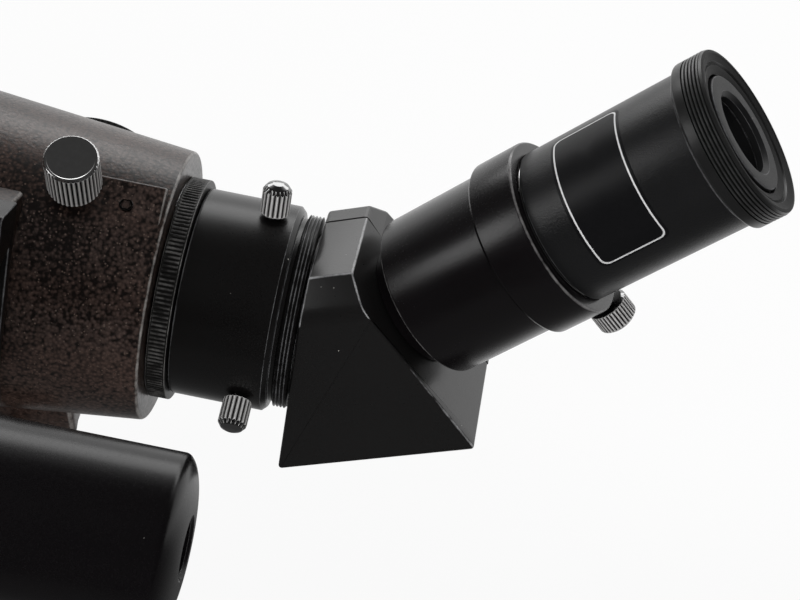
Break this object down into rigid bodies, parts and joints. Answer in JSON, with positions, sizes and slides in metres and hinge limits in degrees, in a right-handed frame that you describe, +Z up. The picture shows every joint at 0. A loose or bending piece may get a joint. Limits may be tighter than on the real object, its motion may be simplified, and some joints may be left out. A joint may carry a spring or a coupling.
{
  "type": "refractor telescope",
  "caption": "Short refractor telescope tube with rack-and-pinion focuser, clamped 45 degree erecting diagonal and eyepiece, finder scope in a dovetail shoe, and a dovetail bar to mount it",
  "frame": {"origin": "middle of the dovetail bar's lower face, where a mount's clamp holds the telescope", "axes": "+X along the optical axis the way light travels, from the objective to the eyepiece; +Z up; -Y the side that carries the finder"},
  "size_m": [0.4744, 0.1657, 0.1681],
  "materials": {
    "black_paint": "speckled brown-black stove enamel",
    "satin_black": "satin black anodised",
    "black_plastic": "fine-grained black",
    "rubber": "matte black",
    "chrome": "bright plated",
    "steel": "plain steel",
    "bare_aluminium": "bright turned",
    "brass": "machined",
    "glass": "coated optical glass"
  },
  "bodies": {
    "base": {"main_tube": "black_paint", "tube_baffle": "satin_black", "objective_cell": "satin_black", "flint_lens": "glass", "crown_lens": "glass", "retaining_ring": "satin_black", "focuser_housing": "black_paint", "tube_screw_near": "steel", "tube_screw_low": "steel", "tube_screw_far": "steel", "pinion_cover": "satin_black", "pinion_cover_screw_1": "steel", "pinion_cover_screw_2": "steel", "tension_screw": "steel", "finder_shoe": "black_paint", "shoe_fixing_screw_1": "steel", "shoe_fixing_screw_2": "steel", "dovetail_bar": "black_paint", "saddle": "black_paint", "saddle_bolt_1": "steel", "saddle_bolt_2": "steel", "nut_plate": "steel"},
    "dew_shield": {"dew_shield": "black_paint"},
    "drawtube": {"drawtube": "bare_aluminium", "rack": "brass", "knurled_ring": "satin_black", "eyepiece_adapter": "satin_black"},
    "pinion": {"pinion_gear": "brass", "pinion_shaft": "steel", "focus_knob_left": "black_plastic", "focus_knob_right": "black_plastic"},
    "lock_screw": {"focus_lock_screw": "chrome"},
    "adapter_screw_upper": {"adapter_screw_upper": "chrome"},
    "adapter_screw_lower": {"adapter_screw_lower": "chrome"},
    "diagonal": {"diagonal_nose": "chrome", "diagonal_body": "black_plastic", "diagonal_cover": "black_plastic", "prism": "glass", "diagonal_screw_1": "steel", "diagonal_screw_2": "steel", "eyepiece_holder": "black_plastic"},
    "holder_screw": {"holder_screw": "chrome"},
    "eyepiece": {"eyepiece_barrel": "chrome", "field_lens": "glass", "eyepiece_body": "black_plastic", "eye_lens": "glass", "eyecup": "rubber", "eye_plate": "satin_black"},
    "finder": {"finder_bracket": "black_paint", "finder_rubber_ring": "rubber", "finder_spring_pin": "steel", "finder_tube": "black_paint", "finder_eyepiece": "black_plastic", "finder_eye_lens": "glass"},
    "finder_cell": {"finder_objective_cell": "black_plastic", "finder_lens": "glass"},
    "finder_lock_ring": {"finder_lock_ring": "black_plastic"},
    "aim_screw_left": {"finder_aim_screw_left": "black_plastic"},
    "aim_screw_right": {"finder_aim_screw_right": "black_plastic"},
    "shoe_clamp": {"shoe_clamp_screw": "chrome"}
  },
  "joints": [
    {"name": "drawtube_slide", "type": "slide", "parent": "base", "child": "drawtube", "axis": [1, 0, 0], "range_m": [0, 0.055]},
    {"name": "pinion_turn", "type": "hinge", "parent": "base", "child": "pinion", "pos_m": [0.1397, 0, 0.03506], "axis": [0, 1, 0], "range_deg": [0, 670]},
    {"name": "lock_screw_turn", "type": "hinge", "parent": "base", "child": "lock_screw", "pos_m": [0.1513, 0, 0.066], "axis": [0, 0, 1], "range_deg": [0, 540]},
    {"name": "adapter_screw_upper_turn", "type": "hinge", "parent": "drawtube", "child": "adapter_screw_upper", "pos_m": [0.19, 0, 0.066], "axis": [0, 0.4772, 0.8788], "range_deg": [0, 540]},
    {"name": "adapter_screw_lower_turn", "type": "hinge", "parent": "drawtube", "child": "adapter_screw_lower", "pos_m": [0.19, 0, 0.066], "axis": [0, -0.9997, -0.0262], "range_deg": [0, 540]},
    {"name": "diagonal_turn", "type": "hinge", "parent": "drawtube", "child": "diagonal", "pos_m": [0.21396, 0, 0.066], "axis": [1, 0, 0], "continuous": true},
    {"name": "holder_screw_turn", "type": "hinge", "parent": "diagonal", "child": "holder_screw", "pos_m": [0.24698, 0.01327, 0.09624], "axis": [0.7071, -0.2842, -0.6475], "range_deg": [0, 540]},
    {"name": "eyepiece_slide", "type": "slide", "parent": "diagonal", "child": "eyepiece", "axis": [0.7071, 0.2842, 0.6475], "range_m": [0, 0.03]},
    {"name": "dew_shield_slide", "type": "slide", "parent": "base", "child": "dew_shield", "axis": [1, 0, 0], "range_m": [0, 0.05]},
    {"name": "finder_slide", "type": "slide", "parent": "base", "child": "finder", "axis": [1, 0, 0], "range_m": [0, 0.04]},
    {"name": "shoe_clamp_turn", "type": "hinge", "parent": "base", "child": "shoe_clamp", "pos_m": [0.124, -0.03363, 0.09422], "axis": [0, -0.6428, -0.766], "range_deg": [0, 540]},
    {"name": "finder_cell_turn", "type": "hinge", "parent": "finder", "child": "finder_cell", "pos_m": [0.005, -0.0835, 0.13606], "axis": [1, 0, 0], "range_deg": [-360, 360]},
    {"name": "finder_lock_ring_turn", "type": "hinge", "parent": "finder", "child": "finder_lock_ring", "pos_m": [0.028, -0.0835, 0.13606], "axis": [1, 0, 0], "range_deg": [0, 360]},
    {"name": "aim_screw_left_turn", "type": "hinge", "parent": "finder", "child": "aim_screw_left", "pos_m": [0.116, -0.0835, 0.13606], "axis": [0, 0.0872, 0.9962], "range_deg": [-360, 360]},
    {"name": "aim_screw_right_turn", "type": "hinge", "parent": "finder", "child": "aim_screw_right", "pos_m": [0.116, -0.0835, 0.13606], "axis": [0, -0.9659, -0.2588], "range_deg": [-360, 360]}
  ],
  "couplings": [
    {"joint": "pinion_turn", "follows": "drawtube_slide", "rad_per_m": 211.13}
  ]
}
